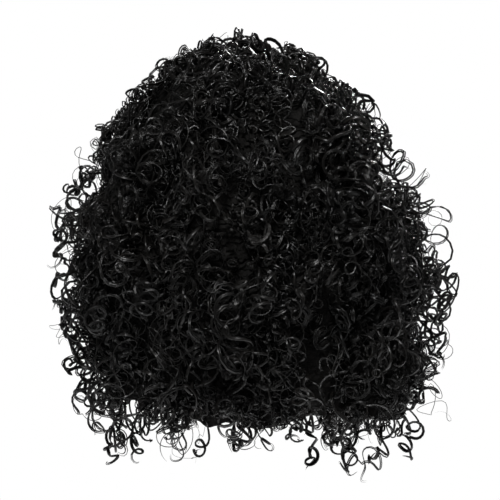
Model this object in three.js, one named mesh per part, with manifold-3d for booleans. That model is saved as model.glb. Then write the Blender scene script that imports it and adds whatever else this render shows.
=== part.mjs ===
// Curly headband wig: a hollow net cap edged by a cloth headband, with four tiers of curled hair
// hanging from the cap. Each tier is a backing of massed hair with its curls fused to it.
// Units are millimetres and +Z is up. The wearer faces -Y. The origin is the inside of the cap's
// crown, where the top of the wearer's head sits.

import * as THREE from "three";
import { LoftGeometry } from "three/addons/geometries/LoftGeometry.js";
import { mergeVertices } from "three/addons/utils/BufferGeometryUtils.js";
import Module from "manifold-3d";

const wasm = await Module();
wasm.setup();

// The head that the wig is made for
const head = { halfBreadth: 76, frontReach: 96, backReach: 98, crownHeight: 112 };
const nape = { drop: 178, halfBreadth: 70, backReach: 76 };

// Cap and headband. A drop is a distance below the inside of the crown, and ease is how far the
// band lies off the cap.
const cap = { wall: 1.2, underBand: 8 };
const band = {
  wall: 1.8,
  ease: 0.8,
  topFrontDrop: 18,
  topBackDrop: 147,
  hemFrontDrop: 60,
  hemBackDrop: 174,
};
const clearance = 0.5; // between the other pieces that touch

// Massed hair under the curls
const hair = { crownRise: 34, drop: 304, halfWidth: 163, backReach: 163, frontReach: 97 };
// How the hair swells and draws in again. Down is a share of its whole height, and the rest are
// shares of its half width, back reach and front reach.
const hairRows = [
  { down: 0.0, side: 0.12, back: 0.12, front: 0.16 },
  { down: 0.02, side: 0.27, back: 0.27, front: 0.4 },
  { down: 0.07, side: 0.42, back: 0.44, front: 0.62 },
  { down: 0.14, side: 0.57, back: 0.61, front: 0.8 },
  { down: 0.24, side: 0.71, back: 0.78, front: 0.92 },
  { down: 0.36, side: 0.84, back: 0.91, front: 0.97 },
  { down: 0.5, side: 0.96, back: 0.98, front: 1.0 },
  { down: 0.66, side: 1.0, back: 1.0, front: 0.99 },
  { down: 0.82, side: 0.95, back: 0.95, front: 0.93 },
  { down: 0.92, side: 0.87, back: 0.87, front: 0.84 },
  { down: 1.0, side: 0.76, back: 0.79, front: 0.74 },
];
const face = { halfWidth: 72, springDrop: 76 }; // the opening that the face looks out of

// Tiers of hair from the crown down. End is a share of the hair's whole height, and first is the
// angle from the face at which the tier's locks begin.
const tiers = [
  { name: "crown_curls", end: 0.24, locks: 13, first: 32 },
  { name: "upper_curls", end: 0.48, locks: 14, first: 50 },
  { name: "middle_curls", end: 0.74, locks: 16, first: 47 },
  { name: "lower_curls", end: 1.0, locks: 15, first: 57 },
];
const tierRise = 70; // how far a tier's underside rises from its edge to the middle of the wig

// Locks of curls. Rooted is the share of a lock's length that lies in the massed hair, and sunk is
// how far in, as a share of its radius. The rest of it stands off the hair below. Each lock hangs
// past its tier's edge by the overhang, less up to an uneven share of it.
const curl = {
  thickness: 22,
  tipThickness: 8,
  overhang: 26,
  standOff: 2,
  uneven: 0.3,
  rooted: 0.5,
  sunk: 0.75,
};
const sway = { reach: 8, length: 62, stagger: 2.4 }; // stagger is the turn from a lock to the next

const facets = { around: 28, capRows: 8, bandRows: 6, arch: 12, lockSides: 5, lockSteps: 6 };
const domeLevels = [0.15, 0.3, 0.5, 0.75, 1]; // shares of the crown's height
const roundness = 2.1; // of every level section: 2 is an ellipse, and more is squarer
const black = { hair: 0x0b0a0a, net: 0x161515, cloth: 0x121112 };

const lerp = THREE.MathUtils.lerp;
const clamp01 = (value) => THREE.MathUtils.clamp(value, 0, 1);
const range = (count) => Array.from({ length: count }, (_, i) => i);

// A closed solid from a geometry, without the faces that collapse to a line at a pole
function solid(geometry) {
  const points = new THREE.BufferGeometry();
  points.setAttribute("position", geometry.getAttribute("position"));
  points.setIndex(geometry.index ?? range(points.attributes.position.count));
  const merged = mergeVertices(points, 1e-4);
  const faces = range(merged.index.count / 3)
    .map((i) => merged.index.array.slice(3 * i, 3 * i + 3))
    .filter(([a, b, c]) => a !== b && b !== c && c !== a);
  return new wasm.Manifold(
    new wasm.Mesh({
      numProp: 3,
      vertProperties: new Float32Array(merged.attributes.position.array),
      triVerts: new Uint32Array(faces.flatMap((face) => [...face])),
    }),
  );
}

function piece(name, shape, color, roughness) {
  const { vertProperties, triVerts } = shape.getMesh();
  const geometry = new THREE.BufferGeometry();
  geometry.setAttribute("position", new THREE.BufferAttribute(vertProperties, 3));
  geometry.setIndex(new THREE.BufferAttribute(triVerts, 1));
  geometry.computeVertexNormals();
  const material = new THREE.MeshStandardMaterial({ color, roughness, metalness: 0 });
  const mesh = new THREE.Mesh(geometry, material);
  mesh.name = name;
  return mesh;
}

// Distance from the middle to the edge of a rounded section, at an angle from the face
function reach(angle, form) {
  const across = Math.abs(Math.sin(angle)) / form.side;
  const along = Math.abs(Math.cos(angle)) / (Math.cos(angle) > 0 ? form.front : form.back);
  return Math.pow(across ** roundness + along ** roundness, -1 / roundness);
}

function pointAt(angle, form, z) {
  const r = reach(angle, form);
  return new THREE.Vector3(r * Math.sin(angle), -r * Math.cos(angle), z);
}

const angles = range(facets.around).map((i) => (i / facets.around) * 2 * Math.PI);
const ring = (form, z) => angles.map((angle) => pointAt(angle, form, z));

// The head's section at a height, grown outwards by an offset: a dome, and below it a taper
// towards the neck
function headForm(z, offset) {
  const down = clamp01((offset - z) / (head.crownHeight + offset));
  const swell = Math.sqrt(down * (2 - down));
  const taper = clamp01((-z - head.crownHeight) / (nape.drop - head.crownHeight));
  return {
    side: (lerp(head.halfBreadth, nape.halfBreadth, taper) + offset) * swell,
    front: (head.frontReach + offset) * swell,
    back: (lerp(head.backReach, nape.backReach, taper ** 2) + offset) * swell,
  };
}

// Height of an edge that tilts from the forehead down to the nape
function edge(angle, frontDrop, backDrop) {
  return -lerp(backDrop, frontDrop, (1 + Math.cos(angle)) / 2);
}

// A shell that runs all the way round the head, from its outline at each angle. The outline goes
// down the outside and back up the inside.
function aroundHead(outline) {
  return solid(new LoftGeometry([...angles, angles[0]].map(outline)));
}

// The cap's outline at an angle, from the crown down to the rim, grown outwards by an offset
function capWall(angle, offset) {
  const rim = edge(angle, band.topFrontDrop + cap.underBand, band.topBackDrop + cap.underBand);
  return range(facets.capRows + 1).map((row) => {
    const share = 1 - Math.cos(((row / facets.capRows) * Math.PI) / 2);
    const z = lerp(offset, rim, share);
    return row === 0 ? new THREE.Vector3(0, 0, z) : pointAt(angle, headForm(z, offset), z);
  });
}

function netCap() {
  return aroundHead((angle) => [...capWall(angle, cap.wall), ...capWall(angle, 0).reverse()]);
}

// A closed loop of cloth round the head, between two offsets, with its edges moved by a margin
function bandLoop(inner, outer, margin) {
  const wall = (angle, offset) =>
    range(facets.bandRows + 1).map((row) => {
      const top = edge(angle, band.topFrontDrop, band.topBackDrop) + margin;
      const hem = edge(angle, band.hemFrontDrop, band.hemBackDrop) - margin;
      const z = lerp(top, hem, row / facets.bandRows);
      return pointAt(angle, headForm(z, offset), z);
    });
  return aroundHead((angle) => [...wall(angle, outer), ...wall(angle, inner).reverse()]);
}

const bandInside = cap.wall + band.ease;
const bandOutside = bandInside + band.wall;
const hairHeight = hair.crownRise + hair.drop;

// The hair's section at a share of its height. Below the last row it keeps that row's section.
function hairForm(down) {
  const last = hairRows.length - 1;
  const next = Math.max(1, hairRows.findIndex((row) => row.down >= Math.min(down, 1)));
  const [a, b] = [hairRows[next - 1], hairRows[Math.min(next, last)]];
  const mix = clamp01((down - a.down) / (b.down - a.down));
  return {
    side: hair.halfWidth * lerp(a.side, b.side, mix),
    front: hair.frontReach * lerp(a.front, b.front, mix),
    back: hair.backReach * lerp(a.back, b.back, mix),
  };
}

const hairLevel = (down) => hair.crownRise - hairHeight * down;

// A point on the hair's surface, raised off it along its normal
function hairPoint(angle, down, lift) {
  const nudge = 0.01;
  const at = (a, d) => pointAt(a, hairForm(d), hairLevel(d));
  const point = at(angle, down);
  const around = at(angle + nudge, down).sub(at(angle - nudge, down));
  const up = at(angle, Math.max(down - nudge, 0)).sub(at(angle, down + nudge));
  return point.addScaledVector(around.cross(up).normalize(), lift);
}

function massedHair() {
  const rings = hairRows.map((row) => ring(hairForm(row.down), hairLevel(row.down)));
  const outside = solid(new LoftGeometry(rings.reverse(), { capStart: true, capEnd: true }));
  const bandSpace = bandLoop(-band.wall, bandOutside + clearance, clearance * 2);
  return outside.subtract(headSpace()).subtract(bandSpace);
}

// The space that the cap, head and neck fill inside the hair, open at the bottom
function headSpace() {
  const chin = new THREE.Vector3(0, 0, -nape.drop);
  const capSpace = aroundHead((angle) => [...capWall(angle, cap.wall + clearance), chin]);
  const floor = -hair.drop - curl.overhang * 2;
  const levels = [...domeLevels.map((share) => -share * head.crownHeight), -nape.drop, floor];
  const rings = levels.map((z) => ring(headForm(z, 0), z));
  const neckSpace = new LoftGeometry(rings.reverse(), { capStart: true, capEnd: true });
  return capSpace.add(solid(neckSpace));
}

// The arch in front that leaves the face and the headband free of hair
function faceSpace() {
  const shape = new THREE.Shape();
  const floor = -hair.drop - curl.overhang * 2;
  const rise = face.springDrop - band.topFrontDrop;
  shape.moveTo(-face.halfWidth, floor);
  shape.lineTo(face.halfWidth, floor);
  shape.lineTo(face.halfWidth, -face.springDrop);
  shape.absellipse(0, -face.springDrop, face.halfWidth, rise, 0, Math.PI);
  const depth = hair.frontReach + curl.thickness * 2;
  const options = { depth, bevelEnabled: false, curveSegments: facets.arch };
  return solid(new THREE.ExtrudeGeometry(shape, options).rotateX(Math.PI / 2));
}

// Everything below a tier's cone-shaped underside, whose edge is at a share of the hair's height.
// The cone runs from a small tip inside the wig to well beyond the hair.
function below(end, lowered) {
  const form = hairForm(end);
  const level = hairLevel(end) - lowered;
  const beyond = 1.5;
  const tip = 0.02;
  const scaled = (share, z) =>
    ring({ side: form.side * share, front: form.front * share, back: form.back * share }, z);
  const sections = [
    scaled(beyond, -2 * hairHeight),
    scaled(beyond, level - (beyond - 1) * tierRise),
    scaled(tip, level + (1 - tip) * tierRise),
  ];
  return solid(new LoftGeometry(sections, { capStart: true, capEnd: true }));
}

// One lock of curls: a swaying tube rooted in the massed hair, whose tip hangs free of it
function lock(angle, from, to, index) {
  const path = range(facets.lockSteps + 1).map((step) => {
    const t = step / facets.lockSteps;
    const down = lerp(from, to, t);
    const radius = lerp(curl.thickness, curl.tipThickness, t ** 2) / 2;
    const waves = index * sway.stagger + (t * (to - from) * hairHeight * 2 * Math.PI) / sway.length;
    const swing = (sway.reach * Math.sin(waves)) / Math.max(hairForm(down).side, curl.thickness * 2);
    const seated = t === 0 ? -radius : radius * (1 - curl.sunk);
    const lift = t > curl.rooted ? radius + curl.standOff : seated;
    return { centre: hairPoint(angle + swing, down, lift), radius };
  });
  const sections = path.map(({ centre, radius }, i) => {
    const before = path[Math.max(i - 1, 0)].centre;
    const after = path[Math.min(i + 1, path.length - 1)].centre;
    const along = new THREE.Vector3().subVectors(after, before).normalize();
    const outward = new THREE.Vector3(Math.sin(angle), -Math.cos(angle), 0);
    const across = new THREE.Vector3().crossVectors(along, outward).normalize();
    outward.crossVectors(across, along);
    return range(facets.lockSides).map((side) => {
      const turn = (side / facets.lockSides) * 2 * Math.PI;
      return centre
        .clone()
        .addScaledVector(outward, radius * Math.cos(turn))
        .addScaledVector(across, radius * Math.sin(turn));
    });
  });
  return solid(new LoftGeometry(sections, { capStart: true, capEnd: true }));
}

function hairTier(mass, tier, above) {
  let shape = mass.subtract(below(tier.end, 0));
  if (above) shape = shape.intersect(below(above.end, clearance));
  const overhang = curl.overhang / hairHeight;
  const from = above ? above.end + overhang : hairRows[1].down;
  const first = THREE.MathUtils.degToRad(tier.first);
  const spread = 2 * Math.PI - 2 * first;
  const gaps = first ? tier.locks - 1 : tier.locks;
  const locks = range(tier.locks).map((i) => {
    const shortened = (curl.uneven * (1 + Math.sin(i * sway.stagger))) / 2;
    return lock(first + (spread * i) / gaps, from, tier.end + overhang * (1 - shortened), i);
  });
  return wasm.Manifold.union([shape, ...locks]);
}

const wig = new THREE.Group();
wig.add(piece("net_cap", netCap(), black.net, 0.8));
wig.add(piece("headband", bandLoop(bandInside, bandOutside, 0), black.cloth, 0.9));
const mass = massedHair().subtract(faceSpace());
tiers.forEach((tier, i) => {
  wig.add(piece(tier.name, hairTier(mass, tier, tiers[i - 1]), black.hair, 0.45));
});

export default wig;
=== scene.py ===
# Curly headband wig: four sewn tiers of curled fibre on a stretch net cap, edged by a knitted
# headband. Lengths are metres unless a comment says mm. +Z is up and the wearer faces -Y.

import math

import bmesh
import bpy
import numpy as np
from bpy.props import FloatProperty, FloatVectorProperty, IntProperty, PointerProperty
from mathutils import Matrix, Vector, noise
from mathutils.bvhtree import BVHTree


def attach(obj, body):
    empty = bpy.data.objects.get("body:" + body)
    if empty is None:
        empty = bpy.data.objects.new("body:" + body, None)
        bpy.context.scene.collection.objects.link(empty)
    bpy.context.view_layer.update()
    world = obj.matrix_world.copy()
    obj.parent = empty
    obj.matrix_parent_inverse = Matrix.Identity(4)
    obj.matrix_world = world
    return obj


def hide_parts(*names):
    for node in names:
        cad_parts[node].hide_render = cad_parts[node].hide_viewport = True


bl_info = {
    "name": "Curly Headband Wig",
    "version": (1, 0, 0),
    "blender": (4, 5, 0),
    "location": "View3D > Sidebar > Wig",
    "description": "Builds a full curly wig on its net cap and headband",
    "category": "Add Mesh",
}

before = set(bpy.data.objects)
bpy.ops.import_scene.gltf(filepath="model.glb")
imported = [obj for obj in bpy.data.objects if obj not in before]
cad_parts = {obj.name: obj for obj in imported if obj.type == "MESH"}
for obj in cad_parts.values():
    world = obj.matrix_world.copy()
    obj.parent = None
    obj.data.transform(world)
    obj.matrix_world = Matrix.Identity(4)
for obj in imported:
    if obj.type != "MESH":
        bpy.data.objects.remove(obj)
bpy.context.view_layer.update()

MM = 0.001
# A full turn in radians, near enough for what is random
TURN = 6.28
TIERS = ("crown_curls", "upper_curls", "middle_curls", "lower_curls")
HEAD_CENTRE = np.array((0.0, 0.010, -0.125))
CAP_CENTRE = (0, 0.004, -0.075)
BAND_CENTRE = (0, 0.002, -0.09)
# About how far the band lies from its centre
BAND_RADIUS = 0.085
# A ray that starts this far from the cap's or the band's centre starts outside them.
REACH = 0.4
# The solids' hair below this level isn't massed hair, but the ends of locks.
HEM_LEVEL = -0.305
# The massed hair's own hem, and the level under which its lowest points move down to that hem
MASSED_HEM_LEVEL = -0.290
NEAR_HEM_LEVEL = -0.26


def srgb(hex_code):
    """A linear colour from an sRGB hex code."""
    parts = [int(hex_code[i : i + 2], 16) / 255 for i in (1, 3, 5)]
    return tuple(c / 12.92 if c <= 0.04045 else ((c + 0.055) / 1.055) ** 2.4 for c in parts)


# Sizes and colours that a user would change


def a_length(name, description, metres):
    return FloatProperty(name=name, description=description, default=metres, unit="LENGTH")


def a_colour(name, description, hex_code):
    return FloatVectorProperty(
        name=name, description=description, default=srgb(hex_code), subtype="COLOR"
    )


class CurlSizes(bpy.types.PropertyGroup):
    small_loop: a_length("Small loop", "Radius of the tightest curls", 5 * MM)
    large_loop: a_length("Large loop", "Radius of the loosest curls", 11 * MM)
    short_turn: a_length("Short turn", "Length of lock for one turn of a tight curl", 7 * MM)
    long_turn: a_length("Long turn", "Length of lock for one turn of a loose curl", 15 * MM)
    strand: a_length("Strand", "Half the width of a strand of many fibres", 0.72 * MM)
    backing_depth: a_length("Backing depth", "How deep the massed hair lies under curls", 28 * MM)
    seed: IntProperty(name="Seed", description="Changes how the curls fall", default=7)
    black: a_colour("Black", "Colour of most of the fibre", "#060606")
    brown_black: a_colour("Brown black", "Colour of the lightest strands", "#11100f")


class CapSizes(bpy.types.PropertyGroup):
    weft_spacing: a_length("Weft spacing", "From one sewn row of hair to the next", 14 * MM)
    weft_height: a_length("Weft height", "How far a sewn row stands out of the net", 0.7 * MM)
    net_mesh: a_length("Net mesh", "Width of one hole of the net", 1.6 * MM)
    colour: a_colour("Colour", "Colour of the net", "#171616")


class BandSizes(bpy.types.PropertyGroup):
    hem: a_length("Hem", "From the band's edge to its stitches", 4 * MM)
    stitch: a_length("Stitch", "Length of one stitch", 3.2 * MM)
    thread: a_length("Thread", "Radius of the sewing thread", 0.18 * MM)
    crease: a_length("Crease", "Height of the soft creases", 0.9 * MM)
    rib: a_length("Rib", "Width of one knitted rib", 3 * MM)
    colour: a_colour("Colour", "Colour of the cloth", "#121112")


class StageSizes(bpy.types.PropertyGroup):
    elevation: FloatProperty(
        name="Camera height", description="Angle of the camera above level",
        default=math.radians(4), subtype="ANGLE",
    )
    view_width: a_length("View width", "Width that the picture takes in at the wig", 0.425)
    view_level: a_length("View level", "Height of the picture's middle", -0.147)
    floor_level: a_length("Floor level", "Height of the floor", -0.85)
    floor_half: a_length("Floor half", "Half the width of the floor", 1.4)
    floor: a_colour("Floor", "Colour of the floor", "#fafafa")


# Materials


# At scale 1 the wave texture repeats once in this length.
WAVE_LENGTH = 0.314


def add_node(tree, kind, settings=None, links=None):
    """Adds a node, sets its sockets and properties by name, and links sockets into it."""
    node = tree.nodes.new(kind)
    for name, value in (settings or {}).items():
        if isinstance(name, int) or name in node.inputs:
            node.inputs[name].default_value = value
        else:
            setattr(node, name, value)
    for name, socket in (links or {}).items():
        tree.links.new(socket, node.inputs[name])
    return node


def new_material(name, surface):
    """An empty material with its Principled shader linked to the output."""
    material = bpy.data.materials.new(name)
    material.use_nodes = True
    tree = material.node_tree
    tree.nodes.clear()
    shader = add_node(tree, "ShaderNodeBsdfPrincipled", surface)
    add_node(tree, "ShaderNodeOutputMaterial", links={"Surface": shader.outputs["BSDF"]})
    return material, tree, shader


def curled_fibre(colours):
    """Modacrylic fibre, drawn and heat set in curls. It is smooth along its length, so each strand
    carries a soft streak of light, and its fibres part into fine grooves. A real strand has a
    groove for each of its many fibres, which is too fine to show, so it has only a few here."""
    material, tree, shader = new_material(
        "heat_set_modacrylic_fibre",
        {"Roughness": 0.25, "IOR": 1.5, "Specular IOR Level": 0.2},
    )
    shade = add_node(tree, "ShaderNodeAttribute", {"attribute_name": "shade"})
    colour = add_node(
        tree, "ShaderNodeMix",
        {"data_type": "RGBA", 6: (*colours.black, 1), 7: (*colours.brown_black, 1)},
        {0: shade.outputs["Fac"]},
    )
    across = add_node(tree, "ShaderNodeUVMap", {"uv_map": "fibre"})
    # About eight grooves round a strand
    groove_scale = 2.5
    grooves = add_node(
        tree, "ShaderNodeTexWave",
        {"bands_direction": "X", "Scale": groove_scale, "Distortion": 1.5, "Detail": 1.0},
        {"Vector": across.outputs["UV"]},
    )
    bump = add_node(
        tree, "ShaderNodeBump", {"Strength": 0.35, "Distance": 0.15 * MM},
        {"Height": grooves.outputs["Fac"]},
    )
    tree.links.new(colour.outputs[2], shader.inputs["Base Color"])
    tree.links.new(bump.outputs["Normal"], shader.inputs["Normal"])
    return material


def massed_fibre(colours):
    """The same fibre where it lies deep and tangled, and its colour is the mean of its strands'.
    Its low specular level is painted shade, so that little light comes back from it."""
    mean = [(dark + light) / 2 for dark, light in zip(colours.black, colours.brown_black)]
    # Painted shade: a specular level far below the curls' keeps the massed hair from reflecting
    # light.
    material, tree, shader = new_material(
        "deep_modacrylic_fibre_painted_shade",
        {"Base Color": (*mean, 1), "Roughness": 0.75, "IOR": 1.5, "Specular IOR Level": 0.03},
    )
    place = add_node(tree, "ShaderNodeTexCoord")
    # Its rings repeat at about the width of a tight curl.
    curl_width = 7 * MM
    curls = add_node(
        tree, "ShaderNodeTexWave",
        {"wave_type": "RINGS", "Scale": 0.3 / curl_width, "Distortion": 14.0, "Detail": 2.0,
         "Detail Scale": 1.6},
        {"Vector": place.outputs["Object"]},
    )
    bump = add_node(
        tree, "ShaderNodeBump", {"Strength": 1.0, "Distance": 3 * MM},
        {"Height": curls.outputs["Fac"]},
    )
    tree.links.new(bump.outputs["Normal"], shader.inputs["Normal"])
    return material


def stretch_net(cap):
    """Nylon net, warp knitted and sewn with rows of hair. It is matt, with a grid of small holes,
    which are drawn wider than the real ones of about 1 mm so that they show."""
    material, tree, shader = new_material(
        "warp_knitted_nylon_net", {"Roughness": 0.75, "IOR": 1.53, "Specular IOR Level": 0.25}
    )
    place = add_node(tree, "ShaderNodeTexCoord")
    holes = add_node(
        tree, "ShaderNodeTexVoronoi", {"Scale": 1 / cap.net_mesh, "Randomness": 0.25},
        {"Vector": place.outputs["Object"]},
    )
    dark = tuple(c * 0.25 for c in cap.colour)
    colour = add_node(
        tree, "ShaderNodeMix", {"data_type": "RGBA", 6: (*dark, 1), 7: (*cap.colour, 1)},
        {0: holes.outputs["Distance"]},
    )
    bump = add_node(
        tree, "ShaderNodeBump", {"Strength": 0.8, "Distance": 0.4 * MM},
        {"Height": holes.outputs["Distance"]},
    )
    tree.links.new(colour.outputs[2], shader.inputs["Base Color"])
    tree.links.new(bump.outputs["Normal"], shader.inputs["Normal"])
    return material


def rib_knit(band):
    """Cotton and elastane jersey, rib knitted. It is soft and matt, with upright ribs and a little
    fuzz that catches light at its edges. Real ribs are about 1 mm wide, which is too fine to show,
    so they are drawn wider. The colour is darker in the grooves between the ribs: painted shade."""
    material, tree, shader = new_material(
        "rib_knitted_jersey",
        {"Roughness": 0.88, "IOR": 1.5, "Specular IOR Level": 0.2, "Sheen Weight": 0.12,
         "Sheen Roughness": 0.5},
    )
    along = add_node(tree, "ShaderNodeUVMap", {"uv_map": "cloth"})
    ribs = add_node(
        tree, "ShaderNodeTexWave",
        {"bands_direction": "X", "Scale": WAVE_LENGTH / band.rib, "Distortion": 0.4, "Detail": 1.0},
        {"Vector": along.outputs["UV"]},
    )
    loop_height = 0.7 * band.rib
    loops = add_node(
        tree, "ShaderNodeTexWave",
        {"bands_direction": "Y", "Scale": WAVE_LENGTH / loop_height, "Distortion": 1.2,
         "Detail": 1.0},
        {"Vector": along.outputs["UV"]},
    )
    height = add_node(
        tree, "ShaderNodeMath", {"operation": "MULTIPLY_ADD", 1: 0.4},
        {0: loops.outputs["Fac"], 2: ribs.outputs["Fac"]},
    )
    # Painted shade: the colour darkens where the ribs dip, in the grooves between them.
    dark = tuple(c * 0.5 for c in band.colour)
    colour = add_node(
        tree, "ShaderNodeMix", {"data_type": "RGBA", 6: (*dark, 1), 7: (*band.colour, 1)},
        {0: ribs.outputs["Fac"]},
    )
    bump = add_node(
        tree, "ShaderNodeBump", {"Strength": 0.7, "Distance": 0.3 * MM},
        {"Height": height.outputs["Value"]},
    )
    tree.links.new(colour.outputs[2], shader.inputs["Base Color"])
    tree.links.new(bump.outputs["Normal"], shader.inputs["Normal"])
    return material


def sewing_thread(band):
    """Polyester thread, twisted. It shines a little more than the cloth that it sews."""
    lighter = tuple(c * 2.2 for c in band.colour)
    material, _, _ = new_material(
        "twisted_polyester_thread",
        {"Base Color": (*lighter, 1), "Roughness": 0.5, "IOR": 1.55, "Specular IOR Level": 0.4},
    )
    return material


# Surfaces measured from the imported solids


def solid_tree(names):
    """A tree for casting rays at some CAD nodes, and the node that each of its faces belongs to."""
    points, faces, owners = [], [], []
    for index, name in enumerate(names):
        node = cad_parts[name]
        first = len(points)
        points += [node.matrix_world @ v.co for v in node.data.vertices]
        faces += [[first + i for i in p.vertices] for p in node.data.polygons]
        owners += [index] * len(node.data.polygons)
    return BVHTree.FromPolygons(points, faces), owners


def directions(azimuth, elevation):
    """Unit directions. Azimuth 0 is the wearer's front and grows towards +X."""
    level = np.cos(elevation)
    return np.stack(
        (np.sin(azimuth) * level, -np.cos(azimuth) * level, np.sin(elevation)), axis=-1
    )


AZIMUTHS = np.linspace(0, 2 * np.pi, 120, endpoint=False)
ELEVATIONS = np.linspace(math.radians(-75), math.radians(90), 67)
GRID = np.meshgrid(AZIMUTHS, ELEVATIONS)


def cast(tree, outside):
    """The distance from the head's centre to the first or the last surface, and the face hit, in
    each direction of the grid. It is not a number where nothing is hit."""
    far = 0.5
    ways = directions(*GRID)
    distance = np.full(ways.shape[:2], np.nan)
    face = np.full(ways.shape[:2], -1)
    for row, column in np.ndindex(distance.shape):
        way = Vector(ways[row, column])
        start = Vector(HEAD_CENTRE) + (way * far if outside else Vector((0, 0, 0)))
        hit, _, index, travelled = tree.ray_cast(start, -way if outside else way, far)
        if hit:
            distance[row, column] = far - travelled if outside else travelled
            face[row, column] = index
    return distance, face


def around_cell(values, reach_rows, reach_columns):
    """Every value within reach of each cell, stacked. Columns wrap round the head."""
    padded = np.pad(values, ((reach_rows, reach_rows), (0, 0)), mode="edge")
    rows = values.shape[0]
    return np.stack([
        np.roll(padded[r : r + rows], c, axis=1)
        for r in range(2 * reach_rows + 1)
        for c in range(-reach_columns, reach_columns + 1)
    ])


def filled(values):
    """The values with the empty cells taken from the nearest full ones."""
    values = values.copy()
    while np.isnan(values).any():
        near = around_cell(values, 1, 1)
        full = ~np.isnan(near)
        mean = np.where(full, near, 0).sum(axis=0) / np.maximum(full.sum(axis=0), 1)
        values = np.where(np.isnan(values) & full.any(axis=0), mean, values)
    return values


class Skin:
    """A surface known as a distance from the head's centre in each direction."""

    def __init__(self, distance, facing):
        for _ in range(2):
            distance = around_cell(distance, 1, 1).mean(axis=0)
        self.distance = distance
        points = HEAD_CENTRE + distance[..., None] * directions(*GRID)
        step_down = np.gradient(points, ELEVATIONS, axis=0)
        wrapped = np.concatenate((points[:, -1:], points, points[:, :1]), axis=1)
        step_round = (wrapped[:, 2:] - wrapped[:, :-2]) / (2 * (AZIMUTHS[1] - AZIMUTHS[0]))
        normals = np.cross(step_round, step_down)
        normals /= np.maximum(np.linalg.norm(normals, axis=-1, keepdims=True), 1e-9)
        normals[-2:] = (0, 0, 1)
        self.normals = normals * facing
        self.scales = np.stack(
            (np.linalg.norm(step_round, axis=-1), np.linalg.norm(step_down, axis=-1)), axis=-1
        )

    def sample(self, table, azimuth, elevation):
        """A value from one of the tables between its grid directions."""
        column = (azimuth % (2 * np.pi)) / (AZIMUTHS[1] - AZIMUTHS[0])
        row = (elevation - ELEVATIONS[0]) / (ELEVATIONS[1] - ELEVATIONS[0])
        row = np.clip(row, 0, len(ELEVATIONS) - 1.001)
        c0, r0 = np.floor(column).astype(int), np.floor(row).astype(int)
        fc, fr = column - c0, row - r0
        c0, c1 = c0 % len(AZIMUTHS), (c0 + 1) % len(AZIMUTHS)
        if table.ndim == 3:
            fc, fr = fc[..., None], fr[..., None]
        low = table[r0, c0] * (1 - fc) + table[r0, c1] * fc
        high = table[r0 + 1, c0] * (1 - fc) + table[r0 + 1, c1] * fc
        return low * (1 - fr) + high * fr

    def at(self, azimuth, elevation):
        """Points on the surface and the directions that it faces there."""
        distance = self.sample(self.distance, azimuth, elevation)
        normal = self.sample(self.normals, azimuth, elevation)
        normal /= np.linalg.norm(normal, axis=-1, keepdims=True)
        return HEAD_CENTRE + distance[..., None] * directions(azimuth, elevation), normal


# How much fuller the hair lies on the wearer's left and right, in mm, at each elevation in
# degrees. The values weren't chosen by hand: they were computed to fit the outline of the hair as
# it is seen from behind.
FULLNESS = (
    (68, -7, -14), (61, -4, -23), (54, 2, -4), (47.5, -1, -5), (41, 3, 1), (35.5, 10, 6),
    (30, 15, -1), (24.5, 18, -11), (19, 11, -12), (14, 2, 7), (9, 9, 9), (4.5, 12, -1),
    (0, 12, 15), (-4.5, 2, 7), (-9, 3, 5), (-13, 15, 8), (-17, -1, 5), (-20.5, 4, 1), (-24, 3, 0),
    (-28, 4, -6), (-32, 2, -3), (-35.5, -2, 7), (-39, -4, 14), (-42.5, -17, 15), (-46, -5, 10),
    (-49.5, 13, 27), (-53, 12, 32),
)


def crown_share(elevation):
    """How much a place belongs to the crown: 0 at the sides and 1 at the top."""
    return np.clip((elevation - math.radians(20)) / math.radians(40), 0, 1)


def sunk(depth, elevation):
    """How deep the massed hair lies, given its depth at the sides. It is shallow at the crown."""
    return depth * (1 - 0.65 * crown_share(elevation))


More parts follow.
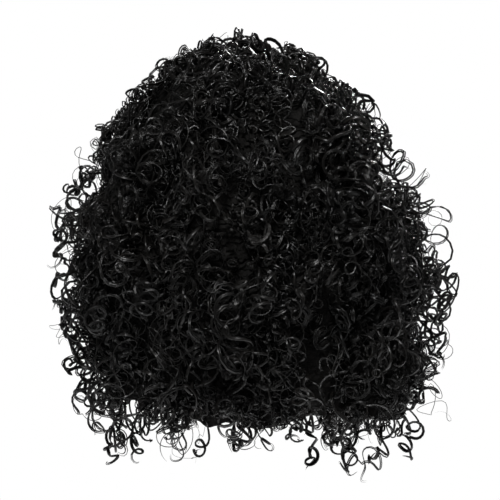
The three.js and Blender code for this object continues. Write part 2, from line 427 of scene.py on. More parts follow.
class HairForm:
    """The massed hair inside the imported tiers: its outer and inner skins, which tier each part of
    it belongs to, and how far down it goes."""

    def __init__(self):
        tree, owners = solid_tree(TIERS)
        outer, face = cast(tree, outside=True)
        inner, _ = cast(tree, outside=False)
        levels = (HEAD_CENTRE + outer[..., None] * directions(*GRID))[..., 2]
        hair = (~np.isnan(outer)) & (levels > HEM_LEVEL)
        # A low percentile of the distances round each cell passes under the locks.
        near = around_cell(np.where(hair, outer, np.nan), 2, 4)
        massed = np.full(outer.shape, np.nan)
        massed[hair] = np.nanpercentile(near[:, hair], 30, axis=0)
        self.hair = hair
        self.tier = np.where(face >= 0, np.array(owners)[face], -1)
        self.outer = Skin(filled(massed), facing=1)
        self.inner = Skin(filled(np.where(hair, inner, np.nan)), facing=-1)
        self.hem = self.find_hem()
        self.face_edge = self.find_face_edge()
        self.swell = self.find_swell()
        self.thickness = self.find_thickness()
        cap_tree, _ = solid_tree(("net_cap", "headband"))
        covered, _ = cast(cap_tree, outside=False)
        self.inside_shows = hair & np.isnan(covered)

    def find_hem(self):
        """The lowest elevation, at each azimuth, that hair lies against before it hangs free."""
        hem = np.empty(len(AZIMUTHS))
        lies = self.hair & (self.outer.normals[..., 2] > -0.5)
        for column in range(len(AZIMUTHS)):
            row = len(ELEVATIONS) - 1
            while row > 0 and lies[row, column]:
                row -= 1
            hem[column] = ELEVATIONS[min(row + 1, len(ELEVATIONS) - 1)]
        return hem

    def find_face_edge(self):
        """The azimuth of the face opening's edge at each elevation, which is 0 above it."""
        half = self.hair[:, : len(AZIMUTHS) // 2]
        return AZIMUTHS[np.where(half.any(axis=1), half.argmax(axis=1), 0)]

    def lumps(self, size, start):
        """A soft random field over the surface, from about -1 to 1. Its lumps are longer from back
        to front than they are high, as rows of sewn hair are."""
        surface = HEAD_CENTRE + self.outer.distance[..., None] * directions(*GRID)
        stretched = surface * (1, 0.35, 1)
        places = (stretched / size + start).reshape(-1, 3)
        return np.array([noise.noise(Vector(p)) for p in places]).reshape(surface.shape[:2])

    def find_swell(self):
        """How far the curls swell out or sink in at each cell: soft lumps all over, and the rise
        and fall of the fullness down each side."""
        swell = 5 * MM * self.lumps(36 * MM, 0)
        height, left, right = np.array(FULLNESS).T
        order = np.argsort(height)
        for side, fullness in ((1, left), (-1, right)):
            here = np.clip(side * np.sin(GRID[0]), 0, 1) ** 2
            rows = np.interp(ELEVATIONS, np.radians(height[order]), fullness[order] * MM)
            swell = swell + here * rows[:, None]
        return swell

    def find_thickness(self):
        """How thickly the curls are rooted at each cell: in clumps with gaps between."""
        return np.clip(1 + 1.3 * self.lumps(18 * MM, 5), 0.3, 2)

    def hem_at(self, azimuth):
        return np.interp(azimuth % (2 * np.pi), AZIMUTHS, self.hem, period=2 * np.pi)

    def beside_face(self, azimuth, elevation, stray):
        """The azimuth kept out of the face opening, but for how far a curl strays past its edge."""
        from_front = (azimuth + np.pi) % (2 * np.pi) - np.pi
        edge = np.interp(elevation, ELEVATIONS, self.face_edge) - stray
        return np.where(from_front < 0, -1, 1) * np.maximum(np.abs(from_front), edge)

    def crown_turn(self, rng, elevation):
        """A random turn of a curl's root that grows towards the crown, where hair lies any way."""
        near = np.clip((elevation - math.radians(45)) / math.radians(40), 0, 1)
        return rng.normal(0, 1, len(elevation)) * near

    def pick(self, rng, cells, count):
        """Directions spread evenly over the area of some cells of the grid, each a little off its
        place. More of them lie at the crown, which the curls lead away from."""
        area = self.outer.scales[..., 0] * self.outer.scales[..., 1] * cells
        crown = np.clip((GRID[1] - math.radians(50)) / math.radians(25), 0, 1)
        passed = np.cumsum(area * (1 + 1.2 * crown) * self.thickness)
        wanted = (np.arange(count) + rng.random(count)) / count * passed[-1]
        rows, columns = np.unravel_index(np.searchsorted(passed, wanted), area.shape)
        half = (ELEVATIONS[1] - ELEVATIONS[0]) / 2
        azimuth = AZIMUTHS[columns] + rng.uniform(-1, 1, count) * (AZIMUTHS[1] / 2)
        elevation = ELEVATIONS[rows] + rng.uniform(-half, half, count)
        order = rng.permutation(count)
        return azimuth[order], np.minimum(elevation, math.radians(88))[order]


# Strands


def hang(form, skin, azimuth, elevation, length, lift, sway, outward, stray):
    """Paths of locks that lie down a skin and then hang free of its hem: their points and the
    directions that the skin faces, at a few places along each. A free end spreads outward by a
    share for each 10 cm that it hangs."""
    count, places = lift.shape
    step = length / (places - 1)
    fallen = np.zeros(count)
    points, normals = [], []
    for place in range(places):
        point, normal = skin.at(azimuth, elevation)
        full = skin.sample(form.swell, azimuth, elevation) if skin is form.outer else 0
        point = point + normal * (lift[:, place] + full)[:, None]
        point[:, 2] -= fallen
        point[:, :2] *= (1 + outward * fallen / 0.1)[:, None]
        normal[:, 2] = np.where(fallen > 0, 0, normal[:, 2])
        points.append(point)
        normals.append(normal)
        scale = skin.sample(skin.scales, azimuth, elevation)
        free = elevation <= form.hem_at(azimuth)
        down = step * np.cos(sway[:, place])
        across = np.maximum(scale[:, 0], 0.03)
        azimuth = azimuth + step * np.sin(sway[:, place]) / across
        azimuth = form.beside_face(azimuth, elevation, stray)
        fallen = fallen + np.where(free, down, 0)
        elevation = elevation - np.where(free, 0, down / scale[:, 1])
    return np.stack(points, axis=1), np.stack(normals, axis=1)


def smooth_weights(places, samples):
    """How much each of a few places counts at each of many samples of a smooth curve."""
    t = np.linspace(0, places - 1, samples)
    weights = np.zeros((samples, places))
    for offset in range(-1, 3):
        index = np.floor(t).astype(int) + offset
        x = np.abs(t - index)
        weight = np.where(x < 1, 2 / 3 - x**2 + x**3 / 2, np.clip(2 - x, 0, None) ** 3 / 6)
        np.add.at(weights, (np.arange(samples), np.clip(index, 0, places - 1)), weight)
    return weights / weights.sum(axis=1, keepdims=True)


def unit(vectors):
    return vectors / np.maximum(np.linalg.norm(vectors, axis=-1, keepdims=True), 1e-12)


def along(curves):
    return unit(np.gradient(curves, axis=1))


def eased(curves):
    """The curves with the corners rounded off each one that bends too sharply for a fibre."""
    for _ in range(3):
        steps = unit(np.diff(curves, axis=1))
        bend = (steps[:, 1:] * steps[:, :-1]).sum(axis=-1).min(axis=1)
        sharp = bend < math.cos(math.radians(75))
        sharper = curves[sharp]
        sharper[:, 1:-1] = (sharper[:, :-2] + 2 * sharper[:, 1:-1] + sharper[:, 2:]) / 4
        curves[sharp] = sharper
    return curves


def loop_planes(middle, facing, tilt, lean):
    """Two directions across each curl's axis, all along it. The axis runs along the path where
    tilt is 0, and at a right angle to it where tilt is a quarter turn: lean says which way."""
    forward = along(middle)
    up = unit(facing - (facing * forward).sum(axis=-1, keepdims=True) * forward)
    side = np.cross(forward, up)
    tilt, lean = tilt[..., None], lean[..., None]
    axis = forward * np.cos(tilt) + (up * np.cos(lean) + side * np.sin(lean)) * np.sin(tilt)
    first = side * np.cos(lean) - up * np.sin(lean)
    return first, np.cross(axis, first)


def tubes(curves, out, half_width, half_depth):
    """Three-sided closed strands along curves: points, quads, triangles, and across and along
    coordinates for each corner. Each strand is widest across its coil and tapers at both ends."""
    count, samples, _ = curves.shape
    share = np.linspace(0, 1, samples)
    taper = np.clip(np.minimum(share * samples / 3, (1 - share) * samples / 9) + 0.1, 0, 1)[:, None]
    across = unit(np.cross(along(curves), out))
    width = half_width[:, None, None] * taper
    depth = half_depth[:, None, None] * taper
    ring = np.stack(
        (curves + out * depth * 0.6 + across * width,
         curves + out * depth * 0.6 - across * width,
         curves - out * depth),
        axis=2,
    )
    points = ring.reshape(-1, 3)
    strand, step, side = np.meshgrid(
        np.arange(count), np.arange(samples - 1), np.arange(3), indexing="ij"
    )
    corners = ((0, 0), (0, 1), (1, 1), (1, 0))
    quads = np.stack(
        [(strand * samples + step + up) * 3 + (side + over) % 3 for up, over in corners],
        axis=-1,
    ).reshape(-1, 4)
    first = np.arange(count) * samples * 3
    last = first + (samples - 1) * 3
    ends = np.concatenate((
        np.stack((first + 2, first + 1, first), axis=-1),
        np.stack((last, last + 1, last + 2), axis=-1),
    ))
    uv = np.stack(
        [np.stack((side + over, step + up), axis=-1) for up, over in corners], axis=-2
    ).reshape(-1, 2) / 3.0
    return points, quads, ends, uv


def strand_mesh(name, parts, shades):
    """One mesh from several sets of tubes. Its shade attribute is a random tone for each strand."""
    points, loops, sizes, uvs, first = [], [], [], [], 0
    for part_points, quads, ends, uv in parts:
        points.append(part_points)
        loops += [(quads + first).ravel(), (ends + first).ravel()]
        sizes += [np.full(len(quads), 4), np.full(len(ends), 3)]
        uvs += [uv, np.zeros((ends.size, 2))]
        first += len(part_points)
    points, loops = np.concatenate(points), np.concatenate(loops)
    sizes, uvs = np.concatenate(sizes), np.concatenate(uvs)
    mesh = bpy.data.meshes.new(name)
    mesh.vertices.add(len(points))
    mesh.vertices.foreach_set("co", points.astype(np.float32).ravel())
    mesh.loops.add(len(loops))
    mesh.loops.foreach_set("vertex_index", loops.astype(np.int32))
    mesh.polygons.add(len(sizes))
    mesh.polygons.foreach_set("loop_start", (np.cumsum(sizes) - sizes).astype(np.int32))
    mesh.polygons.foreach_set("use_smooth", np.ones(len(sizes), dtype=bool))
    layer = mesh.uv_layers.new(name="fibre")
    layer.data.foreach_set("uv", uvs.astype(np.float32).ravel())
    shade = mesh.attributes.new("shade", "FLOAT", "POINT")
    shade.data.foreach_set("value", np.concatenate(shades).astype(np.float32))
    mesh.update(calc_edges=True)
    return mesh


def between(rng, low, high, size):
    return low + (high - low) * rng.random(size)


def waves(rng, count, places, most):
    """A smooth random line for each strand, from about -1 to 1, with up to most waves in it."""
    share = np.linspace(0, 1, places)
    line = 0
    for part in (0.7, 0.45):
        beat = between(rng, 0.3, most, count)[:, None]
        start = between(rng, 0, TURN, count)[:, None]
        line = line + part * np.sin(start + beat * share * TURN)
    return line


def lifts(rng, kind, locks, elevation, depth, share):
    """How high each curl lies along its path, from its root in the massed hair to its tip."""
    count = len(elevation)
    rise = np.repeat(between(rng, *kind["lift"], locks), kind["each"]) * MM
    rise = rise + rng.normal(0, 1.5 * MM, count)
    rise += kind["crown_rise"] * MM * crown_share(elevation)
    rooted = -depth[:, None] + (rise + depth)[:, None] * np.clip(share / 0.25, 0, 1) ** 0.7
    flick = between(rng, *kind["flick"], count)[:, None] * MM
    return rooted + flick * share**3 + 2.5 * MM * waves(rng, count, len(share), 2.5)


def axes(rng, kind, elevation, samples):
    """How far each curl's axis turns away from its path, and which way, all along it."""
    count = len(elevation)
    tilt = np.arccos(1 - rng.random(count) ** kind["upright"])[:, None]
    tilt = tilt + 0.5 * waves(rng, count, samples, 3)
    lean = rng.normal(0, kind["lean"], count) * (1 - 0.7 * crown_share(elevation))
    return tilt, lean[:, None] + 0.8 * waves(rng, count, samples, 2)


def coil_angles(rng, kind, turns, share):
    """How far round its axis each curl has turned, all along it. Some swing back and forth."""
    count = len(turns)
    handed = np.where(rng.random(count) < 0.5, -1, 1)[:, None]
    coil = handed * 2 * np.pi * turns * share
    reverse = between(rng, 1.6, 2.6, count)[:, None] * np.sin(
        2 * np.pi * turns * 0.6 * share + between(rng, 0, TURN, count)[:, None]
    )
    angle = np.where(rng.random(count)[:, None] < kind["waved"], reverse, coil)
    return angle + between(rng, 0, TURN, count)[:, None] + 0.6 * waves(rng, count, len(share), 4)


def bundles(rng, kind, middle, planes, angle, loop, tone, half_width):
    """Tubes and shades for the strands of each curl, which coil side by side round its path."""
    first, second = planes
    count, samples = angle.shape
    parts, shades = [], []
    for strand in range(kind["strands"]):
        beside = (strand - (kind["strands"] - 1) / 2) * kind["spacing"] * MM
        turned = (angle + rng.normal(0, 0.1 * kind["loose"], count)[:, None])[..., None]
        own_loop = loop * (1 + rng.normal(0, 0.03 * kind["loose"], count)[:, None]) + beside
        out = np.cos(turned) * first + np.sin(turned) * second
        curves = eased(middle + out * own_loop[..., None])
        across = unit(np.cross(along(curves), out))
        parted = beside * (1 + 0.6 * kind["loose"] * waves(rng, count, samples, 3))
        curves = curves + across * parted[..., None]
        width = half_width * kind["width"] * between(rng, 0.55, 1.45, count)
        parts.append(tubes(curves, out, width, width * kind["thickness"]))
        shades.append(np.repeat(tone + rng.normal(0, 0.12, count), samples * 3))
    return parts, shades


def ringlets(form, skin, cells, rng, kind, count, sizes):
    """Tubes and shades for one kind of curl, rooted in some cells of the grid. Locks of a few
    curls lie together, and each curl is a bundle of strands that coil down one path."""
    samples, places, each = kind["samples"], 14, kind["each"]
    locks = math.ceil(count / each)
    count = locks * each

    def of_lock(values):
        """The locks' values, repeated for each of their curls."""
        return np.repeat(values, each, axis=0)

    # Where each curl is rooted
    azimuth, elevation = form.pick(rng, cells, locks)
    scale = of_lock(skin.sample(skin.scales, azimuth, elevation))
    apart = rng.normal(0, kind["apart"] * MM, (count, 2))
    azimuth = of_lock(azimuth) + apart[:, 0] / np.maximum(scale[:, 0], 0.03)
    elevation = np.minimum(of_lock(elevation) + apart[:, 1] / scale[:, 1], math.radians(89))

    # How loose and how long it is
    looseness = np.clip(of_lock(rng.random(locks)) ** 1.2 + rng.normal(0, 0.12, count), 0, 1)
    radius = (sizes.small_loop + (sizes.large_loop - sizes.small_loop) * looseness) * kind["loop"]
    turn = sizes.short_turn + (sizes.long_turn - sizes.short_turn) * looseness
    turns = samples / (kind["steps"] + 3.5 * looseness + rng.normal(0, 0.4, count))
    to_hem = np.maximum(elevation - form.hem_at(azimuth), 0)
    to_hem = to_hem * skin.sample(skin.distance, azimuth, elevation)
    overhang = between(rng, *kind["overhang"], count) * MM
    length = np.minimum(turns * turn, to_hem + overhang)
    turns = np.maximum(length / turn, 0.8)[:, None]

    # The path that it coils down
    share = np.linspace(0, 1, places)
    if skin is form.outer:
        depth = sunk(sizes.backing_depth, elevation) + 4 * MM
    else:
        depth = np.full(count, 8 * MM)
    lift = lifts(rng, kind, locks, elevation, depth, share)
    sway = of_lock(waves(rng, locks, places, 1.2)) + 0.35 * waves(rng, count, places, 1.8)
    sway = kind["sway"] * sway + 0.9 * form.crown_turn(rng, elevation)[:, None] * (1 - share) ** 2
    stray = 0.03 + 0.26 * rng.random(count) ** 1.7
    paths, normals = hang(
        form, skin, azimuth, elevation, length, lift, sway, kind["outward"], stray
    )
    weights = smooth_weights(places, samples)
    middle = np.einsum("sp,npc->nsc", weights, paths)
    facing = np.einsum("sp,npc->nsc", weights, normals)

    # The plane, the angle and the radius of its coil
    planes = loop_planes(middle, facing, *axes(rng, kind, elevation, samples))
    share = np.linspace(0, 1, samples)
    angle = coil_angles(rng, kind, turns, share)
    spread = 0.5 + 0.5 * np.clip(share / 0.15, 0, 1) - 0.35 * share**3
    loop = radius[:, None] * spread * (1 + 0.28 * waves(rng, count, samples, 4))
    tone = of_lock(rng.random(locks)) * 0.5 + rng.random(count) * 0.5
    return bundles(rng, kind, middle, planes, angle, loop, tone, sizes.strand)


# How each kind of curl lies. Pairs are the least and the most, and lengths are mm.
# samples: points along a strand, steps: how many of them make one tight turn
# strands: strands in a curl, spacing: how far apart they lie, loose: how much they differ
# each: curls in a lock, apart: how far apart they are rooted
# loop, width: radius of the coil and of the strand, as shares of the usual ones
# thickness: depth of a strand as a share of its width
# lift: height over the massed hair's skin, crown_rise: how much higher it is at the crown
# sway: how far the path wanders sideways, flick: how far its tip stands out
# overhang: how far it hangs past the hem, outward: how much its free end spreads
# upright: the lower it is, the more coils turn across their path
# lean: how freely the coils face, waved: share of curls that swing back and forth
USUAL = dict(samples=46, strands=1, spacing=0, loose=1.0, outward=0.0, upright=0.5, lean=3)
CURLS = {
    "deep": dict(
        USUAL, steps=7, each=3, apart=5, loop=0.9, width=1.2, thickness=0.8, lift=(-28, -18),
        crown_rise=17, sway=0.75, flick=(-2, 3), overhang=(2, 11), lean=0.9, waved=0.2,
    ),
    "bundled": dict(
        USUAL, steps=8, strands=3, spacing=0.9, each=2, apart=6, loop=0.95, width=0.72,
        thickness=0.95, lift=(-26, -10), crown_rise=15, sway=0.7, flick=(-4, 4),
        overhang=(2, 15), lean=0.9, waved=0.2,
    ),
    "looped": dict(
        USUAL, samples=50, steps=12, strands=2, spacing=0.8, loose=0.7, each=1, apart=6, loop=1.2,
        width=1.12, thickness=0.95, lift=(-9, 9), crown_rise=-4, sway=0.7, flick=(-3, 5),
        overhang=(8, 28), upright=0.6, waved=0.2,
    ),
    "flyaway": dict(
        USUAL, samples=60, steps=16, each=1, apart=5, loop=1.4, width=0.42, thickness=0.9,
        lift=(-2, 8), crown_rise=-8, sway=0.9, flick=(-2, 6), overhang=(6, 24), waved=0.1,
    ),
    "inner": dict(
        USUAL, steps=7.5, each=3, apart=6, loop=0.8, width=1.4, thickness=0.7, lift=(-1, 8),
        crown_rise=0, sway=0.6, flick=(-2, 2), overhang=(5, 45), outward=0.05, upright=0.6,
        waved=0.3,
    ),
}


def whole_cells(full):
    """Which cells of the grid have all four corners full."""
    cells = full[:-1] & full[1:]
    return cells & np.roll(cells, -1, axis=1)


def massed_points(form, depth):
    """The grid's points on the massed hair's outer wall, which is sunk by a depth and rises and
    falls in soft lumps, and then those on its inner wall."""
    columns = len(AZIMUTHS)
    inner = form.inner.distance + 1.5 * MM
    outer = form.outer.distance - (sunk(depth, GRID[1]) - form.swell)
    walls = np.stack((np.maximum(outer, inner + 4 * MM), inner))
    points = (HEAD_CENTRE + walls[..., None] * directions(*GRID)).reshape(2, -1, 3)

    # The lowest row hangs down to a ragged hem, level with the ends of most curls behind and
    # higher at the sides.
    lowest, column = np.argmax(whole_cells(form.hair), axis=0), np.arange(columns)
    hem = np.unique(np.concatenate(
        (lowest * columns + column, lowest * columns + (column + 1) % columns)
    ))
    hem = hem[points[0, hem, 2] < NEAR_HEM_LEVEL]
    raised = 14 * MM * np.sin(AZIMUTHS[hem % columns]) ** 4
    ragged = [noise.noise(Vector((i % columns * 0.35, 0.5, 0.5))) * 7 * MM for i in hem]
    points[:, hem, 2] = MASSED_HEM_LEVEL + raised + np.array(ragged)

    # Beside the face it draws back, so that the curls in front of it make a soft edge.
    beside = form.hair & ~(np.roll(form.hair, 1, axis=1) & np.roll(form.hair, -1, axis=1))
    beside = np.flatnonzero(beside & (GRID[1] < math.radians(15)))
    drawn = [(4 + 3 * noise.noise(Vector((i // columns * 0.6, 0.5, 0.5)))) * MM for i in beside]
    points[:, beside, 1] += drawn
    return points.reshape(-1, 3)


def massed_faces(cells):
    """The outer wall over some cells of the grid, the inner wall, and the edges between."""
    rows, columns = GRID[0].shape

    def index(wall, row, column):
        return (wall * rows + row) * columns + column % columns

    faces = []
    for row, column in zip(*np.nonzero(cells)):
        a, b, c, d = (row, column), (row, column + 1), (row + 1, column + 1), (row + 1, column)
        faces.append([index(0, *p) for p in (a, b, c, d)])
        faces.append([index(1, *p) for p in (d, c, b, a)])
        goes_on = {
            (a, b): row > 0 and cells[row - 1, column],
            (b, c): cells[row, (column + 1) % columns],
            (c, d): row + 1 < rows - 1 and cells[row + 1, column],
            (d, a): cells[row, column - 1],
        }
        for (p, q), more in goes_on.items():
            if not more and max(p[0], q[0]) < rows - 1:
                faces.append([index(0, *q), index(0, *p), index(1, *p), index(1, *q)])
    return faces


def massed_hair(form, tier, depth, material):
    """The massed hair of one tier, which lies under its curls."""
    cells = whole_cells(form.hair) & (form.tier[:-1] == tier)
    mesh = bpy.data.meshes.new(f"{TIERS[tier]}_backing")
    mesh.from_pydata(massed_points(form, depth).tolist(), [], massed_faces(cells))
    work = bmesh.new()
    work.from_mesh(mesh)
    bmesh.ops.delete(work, geom=[v for v in work.verts if not v.link_faces], context="VERTS")
    bmesh.ops.remove_doubles(work, verts=work.verts, dist=0.05 * MM)
    bmesh.ops.recalc_face_normals(work, faces=work.faces)
    for face in work.faces:
        face.smooth = True
    work.to_mesh(mesh)
    work.free()
    mesh.materials.append(material)
    return show(mesh)


def show(mesh):
    piece = bpy.data.objects.new(mesh.name, mesh)
    bpy.context.collection.objects.link(piece)
    return piece


def joined(name, pieces):
    """The pieces as one object with each one's materials."""
    with bpy.context.temp_override(
        active_object=pieces[0], selected_editable_objects=pieces, selected_objects=pieces
    ):
        bpy.ops.object.join()
    pieces[0].name = name
    pieces[0].data.name = name
    return pieces[0]


# Operators

HAIR = {}


def hair_form():
    """The form of the hair, measured once."""
    if "form" not in HAIR:
        HAIR["form"] = HairForm()
    return HAIR["form"]


def curls(form, skin, cells, rng, counts, sizes):
    """Curls of several kinds rooted in some cells, as parts and shades for one mesh."""
    parts, shades = [], []
    for kind, count in counts.items():
        made = ringlets(form, skin, cells, rng, CURLS[kind], count, sizes)
        parts += made[0]
        shades += made[1]
    return parts, shades


def curls_alone(name, skin, cells, counts, sizes, seed_step):
    """A piece of curls with no massed hair under them."""
    rng = np.random.default_rng(sizes.seed + seed_step)
    mesh = strand_mesh(name, *curls(hair_form(), skin, cells, rng, counts, sizes))
    mesh.materials.append(bpy.data.materials["heat_set_modacrylic_fibre"])
    piece = show(mesh)
    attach(piece, "root")


class WIG_OT_make_tiers(bpy.types.Operator):
    """Curls of the four sewn tiers, each over its massed hair"""

    bl_idname = "wig.make_tiers"
    bl_label = "Make Curl Tiers"

    # Curls of each kind in each tier, from the crown down
    counts = (
        {"deep": 190, "bundled": 110},
        {"deep": 180, "bundled": 130},
        {"deep": 175, "bundled": 140},
        {"deep": 170, "bundled": 140},
    )

    def execute(self, context):
        sizes = context.scene.wig_curls
        form = hair_form()
        rng = np.random.default_rng(sizes.seed)
        # The massed hair's material is the same fibre with painted shade: its specular level is
        # kept low.
        fibre, deep = curled_fibre(sizes), massed_fibre(sizes)
        for tier, name in enumerate(TIERS):
            cells = form.hair & (form.tier == tier)
            mesh = strand_mesh(
                f"{name}_fibre", *curls(form, form.outer, cells, rng, self.counts[tier], sizes)
            )
            mesh.materials.append(fibre)
            strands = show(mesh)
            massed = massed_hair(form, tier, sizes.backing_depth, deep)
            piece = joined(f"{name}_fibre", [strands, massed])
            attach(piece, "root")
            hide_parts(name)
        return {"FINISHED"}


class WIG_OT_make_loose(bpy.types.Operator):
    """Large curls and single strands that stand out of the tiers"""

    bl_idname = "wig.make_loose"
    bl_label = "Make Loose Curls"

    def execute(self, context):
        form = hair_form()
        counts = {"looped": 300, "flyaway": 60}
        curls_alone(
            "loose_curls_fibre", form.outer, form.hair, counts, context.scene.wig_curls, 2
        )
        return {"FINISHED"}


class WIG_OT_make_inside(bpy.types.Operator):
    """Curls that hang on the inside of the hair, round the face and the neck"""

    bl_idname = "wig.make_inside"
    bl_label = "Make Inner Curls"

    def execute(self, context):
        form = hair_form()
        counts = {"inner": 380}
        curls_alone(
            "inner_curls_fibre", form.inner, form.inside_shows, counts, context.scene.wig_curls, 1
        )
        return {"FINISHED"}


def wall_point(tree, centre, way, side):
    """Where the line from a centre along a way meets a wall: on its outside where side is 1, and
    on its inside where side is -1. It is None where there is no wall."""
    if side == 1:
        return tree.ray_cast(centre + way * REACH, -way, REACH)[0]
    return tree.ray_cast(centre, way, REACH)[0]


def wall_span(tree, centre, azimuth, low, high, steps):
    """The lowest and the highest elevation at which a wall stands, found by trying many between
    two limits in degrees."""
    tried = np.linspace(math.radians(low), math.radians(high), steps)
    met = [e for e in tried if wall_point(tree, centre, Vector(directions(azimuth, e)), -1)]
    return min(met), max(met)


def loop_wall(name, centre, columns, rows, shape):
    """A closed wall of cloth round the head, from a CAD wall: for each azimuth its outline runs
    from the top edge down the outside, round the hem and back up the inside. Shape moves each
    point, given its azimuth, its share of the way down, and its side, 1 outside and -1 inside."""
    tree, _ = solid_tree((name,))
    centre = Vector(centre)
    inset = 0.002
    outlines, uvs = [], []
    for azimuth in np.linspace(0, 2 * np.pi, columns, endpoint=False):
        hem, top = wall_span(tree, centre, azimuth, -80, 80, 640)
        hem, top = hem + inset, top - inset
        outline, lengths = [], []
        for side, start in ((1, 0), (-1, 1)):
            for share in np.linspace(start, 1 - start, rows):
                way = Vector(directions(azimuth, top + (hem - top) * share))
                hit = wall_point(tree, centre, way, side)
                outline.append(shape(hit, way, azimuth, share, side))
                lengths.append(abs(top - hem) * share * hit.length)
        outlines.append(outline)
        uvs.append(lengths)
    return outlines, uvs


def wall_mesh(name, outlines, lengths, uv_name):
    """A mesh from outlines round the head, with a UV map in metres."""
    columns, rows = len(outlines), len(outlines[0])
    points = [point for outline in outlines for point in outline]
    faces, uv = [], []
    for column in range(columns):
        for row in range(rows):
            corners = ((column, row), (column, row + 1), (column + 1, row + 1), (column + 1, row))
            faces.append([(c % columns) * rows + r % rows for c, r in corners])
            uv += [
                (c * 2 * math.pi * BAND_RADIUS / columns, lengths[c % columns][r % rows])
                for c, r in corners
            ]
    mesh = bpy.data.meshes.new(name)
    mesh.from_pydata(points, [], faces)
    layer = mesh.uv_layers.new(name=uv_name)
    layer.data.foreach_set("uv", np.array(uv, dtype=np.float32).ravel())
    mesh.polygons.foreach_set("use_smooth", np.ones(len(faces), dtype=bool))
    work = bmesh.new()
    work.from_mesh(mesh)
    bmesh.ops.recalc_face_normals(work, faces=work.faces)
    work.to_mesh(mesh)
    work.free()
    return mesh


class WIG_OT_make_band(bpy.types.Operator):
    """Knitted headband with its stitched hems"""

    bl_idname = "wig.make_band"
    bl_label = "Make Headband"

    def execute(self, context):
        sizes = context.scene.wig_band
        columns, rows = 150, 13

        def soften(hit, way, azimuth, share, side):
            """Thins the edges, rolls the hems, and adds soft creases and gathers at the nape."""
            edge = min(share, 1 - share)
            thin = 0.45 * MM * max(0, 1 - edge / 0.06)
            roll = 0.35 * MM * math.exp(-(((edge - 0.12) / 0.05) ** 2))
            crease = noise.noise(Vector((azimuth * 2.2, share * 2.5, 4.1))) * sizes.crease
            back = max(0.0, -math.cos(azimuth)) ** 2
            gather = 0.35 * MM * back * math.sin(azimuth * 90)
            return hit + way * (side * (-thin - roll * (side > 0)) + crease * 0.6 + gather)

        outlines, lengths = loop_wall("headband", BAND_CENTRE, columns, rows, soften)
        mesh = wall_mesh("headband_jersey", outlines, lengths, "cloth")
        mesh.materials.append(rib_knit(sizes))
        cloth = show(mesh)
        stitches = self.stitches(sizes, outlines, rows)
        piece = joined("headband_jersey", [cloth, stitches])
        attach(piece, "root")
        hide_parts("headband")
        return {"FINISHED"}

    def stitches(self, sizes, outlines, rows):
        """Rows of stitches along both hems, outside and inside, as one mesh of short tubes."""
        ring = np.array(outlines)
        columns = np.arange(len(ring))
        # The share of a stitch that its thread shows for, and its points and how far each rises
        shown, bends = 0.72, 4
        bulge = np.sin(np.linspace(0, math.pi, bends)) * 0.25 * MM - 0.05 * MM
        curves, outs = [], []
        for side, wall in ((1, ring[:, :rows]), (-1, ring[:, : rows - 1 : -1])):
            height = np.linalg.norm(np.diff(wall, axis=1), axis=-1).sum(axis=1)
            inset = sizes.hem / height * (rows - 1)
            for place in (inset, rows - 1 - inset):
                low = np.floor(place).astype(int)
                mix = (place - low)[:, None]
                line = wall[columns, low] * (1 - mix) + wall[columns, low + 1] * mix
                closed = np.concatenate((line, line[:1]))
                steps = np.linalg.norm(np.diff(closed, axis=0), axis=1)
                travelled = np.concatenate(([0], np.cumsum(steps)))
                starts = np.arange(int(travelled[-1] / sizes.stitch)) * sizes.stitch
                at = starts[:, None] + np.linspace(0, shown, bends) * sizes.stitch
                curve = np.stack(
                    [np.interp(at, travelled, closed[:, axis]) for axis in range(3)], axis=-1
                )
                out = unit(curve - np.array(BAND_CENTRE)) * side
                curves.append(curve + out * bulge[:, None])
                outs.append(out)
        curves, outs = np.concatenate(curves), np.concatenate(outs)
        radius = np.full(len(curves), sizes.thread)
        part = tubes(curves, outs, radius, radius)
        mesh = strand_mesh("headband_stitches", [part], [np.zeros(len(part[0]))])
        mesh.uv_layers[0].name = "cloth"
        mesh.materials.append(sewing_thread(sizes))
        return show(mesh)


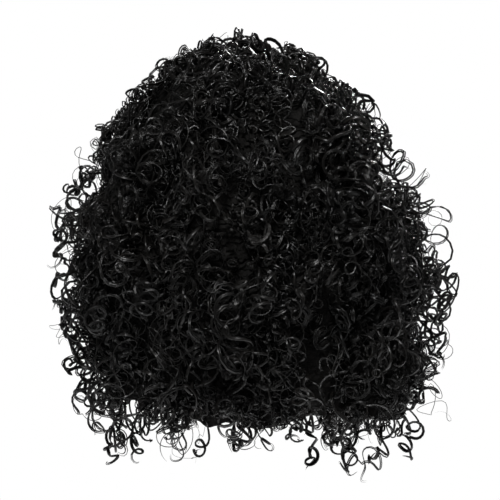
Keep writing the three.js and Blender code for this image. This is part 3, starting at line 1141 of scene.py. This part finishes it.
class WIG_OT_make_cap(bpy.types.Operator):
    """Stretch net cap with its sewn rows of hair"""

    bl_idname = "wig.make_cap"
    bl_label = "Make Net Cap"

    columns, rows = 120, 54
    # Zigzags of thread round each sewn row, and the elastic rim's share of the way to the top
    zigzags, elastic = 110, 0.045

    def execute(self, context):
        sizes = context.scene.wig_cap
        work = bmesh.new()
        self.add_faces(work, self.add_walls(work, sizes))
        bmesh.ops.recalc_face_normals(work, faces=work.faces)
        for face in work.faces:
            face.smooth = True
        mesh = bpy.data.meshes.new("net_cap_net")
        work.to_mesh(mesh)
        work.free()
        mesh.materials.append(stretch_net(sizes))
        piece = show(mesh)
        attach(piece, "root")
        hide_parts("net_cap")
        return {"FINISHED"}

    def add_walls(self, work, sizes):
        """The outer and the inner side of the net, each as rings of points from the rim up and
        the one point at the top."""
        tree, _ = solid_tree(("net_cap",))
        centre = Vector(CAP_CENTRE)
        inset = 0.004
        azimuths = np.linspace(0, 2 * np.pi, self.columns, endpoint=False)
        rims = [wall_span(tree, centre, a, -75, 60, 400)[0] + inset for a in azimuths]
        walls = []
        for side in (1, -1):
            rings = []
            for share in (row / self.rows for row in range(self.rows)):
                ring = []
                for azimuth, rim in zip(azimuths, rims):
                    way = Vector(directions(azimuth, rim + (math.pi / 2 - rim) * share))
                    hit = wall_point(tree, centre, way, side)
                    ridge = 0 if side == 1 else self.ridge(hit, azimuth, share, sizes)
                    ring.append(work.verts.new(hit - way * ridge * sizes.weft_height))
                rings.append(ring)
            top = work.verts.new(wall_point(tree, centre, Vector((0, 0, 1)), side))
            walls.append((rings, top))
        return walls

    def ridge(self, hit, azimuth, share, sizes):
        """How much of a sewn row's height stands out of the net at a point of its inside. The
        elastic rim stands out as far as a row does."""
        if share < self.elastic:
            return 1.0
        down = -hit.z / sizes.weft_spacing
        row_of_hair = max(0.0, math.cos(down * 2 * math.pi)) ** 4
        zigzag = 0.5 + 0.5 * math.sin(azimuth * self.zigzags + math.floor(down + 0.5) * 2)
        return row_of_hair * (0.7 + 0.3 * zigzag)

    def add_faces(self, work, walls):
        """Joins each side's rings and its top, and then the two rims."""
        pairs = [(c, (c + 1) % self.columns) for c in range(self.columns)]
        for rings, top in walls:
            for low, high in zip(rings, rings[1:]):
                for c, d in pairs:
                    work.faces.new((low[c], low[d], high[d], high[c]))
            for c, d in pairs:
                work.faces.new((rings[-1][c], rings[-1][d], top))
        outside, inside = (rings[0] for rings, _ in walls)
        for c, d in pairs:
            work.faces.new((outside[d], outside[c], inside[c], inside[d]))


class WIG_OT_set_stage(bpy.types.Operator):
    """Pale floor, soft studio light and the camera"""

    bl_idname = "wig.set_stage"
    bl_label = "Set Stage"

    # Soft boxes: name, place, size and power in watts. All face the middle of the hair.
    soft_boxes = (
        ("camera_side", (0.15, 0.95, 0.8), 0.22, 24),
        ("far_side", (-0.3, -0.95, 0.45), 0.4, 18),
    )

    def execute(self, context):
        sizes = context.scene.wig_stage
        self.make_floor(sizes)
        self.make_lights(sizes)
        self.make_camera(context, sizes)
        return {"FINISHED"}

    def make_floor(self, sizes):
        """Painted board, rolled white: matt, and even enough to have no grain."""
        mesh = bpy.data.meshes.new("floor")
        half = sizes.floor_half
        sides = ((-half, -half), (half, -half), (half, half), (-half, half))
        corners = [(x, y, sizes.floor_level) for x, y in sides]
        mesh.from_pydata(corners, [], [(0, 1, 2, 3)])
        material, _, _ = new_material(
            "rolled_white_paint",
            {"Base Color": (*sizes.floor, 1), "Roughness": 0.9, "Specular IOR Level": 0.1},
        )
        mesh.materials.append(material)
        show(mesh)

    def make_lights(self, sizes):
        target = Vector((0, 0, sizes.view_level))
        for name, place, size, power in self.soft_boxes:
            light = bpy.data.lights.new(name, "AREA")
            light.energy, light.size = power, size
            lamp = bpy.data.objects.new(name, light)
            lamp.location = place
            lamp.rotation_euler = (target - lamp.location).to_track_quat("-Z", "Y").to_euler()
            bpy.context.collection.objects.link(lamp)
        # A wide silk overhead lights the floor to white and the tops of the curls.
        silk = bpy.data.lights.new("overhead_silk", "SUN")
        silk.energy, silk.angle = 3.0, math.radians(16)
        lamp = bpy.data.objects.new("overhead_silk", silk)
        lamp.rotation_euler = Vector((0.15, -0.42, -1)).to_track_quat("-Z", "Y").to_euler()
        bpy.context.collection.objects.link(lamp)
        # The studio's walls show white, but black flags keep most of their light off the hair.
        world = bpy.data.worlds.new("white_studio")
        world.use_nodes = True
        tree = world.node_tree
        seen = add_node(tree, "ShaderNodeLightPath").outputs["Is Camera Ray"]
        glow = add_node(
            tree, "ShaderNodeMapRange", {"To Min": 0.18, "To Max": 1.0}, {"Value": seen}
        )
        backdrop = tree.nodes["Background"]
        backdrop.inputs["Color"].default_value = (1, 1, 1, 1)
        tree.links.new(glow.outputs["Result"], backdrop.inputs["Strength"])
        bpy.context.scene.world = world
        bpy.context.scene.view_settings.view_transform = "Standard"

    def make_camera(self, context, sizes):
        camera = bpy.data.cameras.new("camera")
        camera.lens = 180
        away = sizes.view_width * camera.lens / camera.sensor_width
        eye = bpy.data.objects.new("camera", camera)
        target = Vector((0, 0.02, sizes.view_level))
        back = Vector((0, math.cos(sizes.elevation), math.sin(sizes.elevation)))
        eye.location = target + back * away
        eye.rotation_euler = (-back).to_track_quat("-Z", "Y").to_euler()
        bpy.context.collection.objects.link(eye)
        context.scene.camera = eye


class WIG_PT_panel(bpy.types.Panel):
    """Sizes and makers of the wig"""

    bl_idname = "WIG_PT_panel"
    bl_label = "Curly Headband Wig"
    bl_space_type = "VIEW_3D"
    bl_region_type = "UI"
    bl_category = "Wig"

    def draw(self, context):
        for operator in OPERATORS:
            self.layout.operator(operator.bl_idname)
        for name, group in SETTINGS.items():
            box = self.layout.box()
            box.label(text=name.replace("_", " ").title())
            for size in group.__annotations__:
                box.prop(getattr(context.scene, name), size)


SETTINGS = {
    "wig_curls": CurlSizes,
    "wig_cap": CapSizes,
    "wig_band": BandSizes,
    "wig_stage": StageSizes,
}
OPERATORS = (
    WIG_OT_set_stage,
    WIG_OT_make_cap,
    WIG_OT_make_band,
    WIG_OT_make_tiers,
    WIG_OT_make_loose,
    WIG_OT_make_inside,
)


def register():
    for group in (*SETTINGS.values(), *OPERATORS, WIG_PT_panel):
        bpy.utils.register_class(group)
    for name, group in SETTINGS.items():
        setattr(bpy.types.Scene, name, PointerProperty(type=group))


def unregister():
    for name in SETTINGS:
        delattr(bpy.types.Scene, name)
    for group in reversed((*SETTINGS.values(), *OPERATORS, WIG_PT_panel)):
        bpy.utils.unregister_class(group)


def main():
    register()
    bpy.ops.wig.set_stage()
    bpy.ops.wig.make_cap()
    bpy.ops.wig.make_band()
    bpy.ops.wig.make_tiers()
    bpy.ops.wig.make_loose()
    bpy.ops.wig.make_inside()


if __name__ == "__main__":
    main()
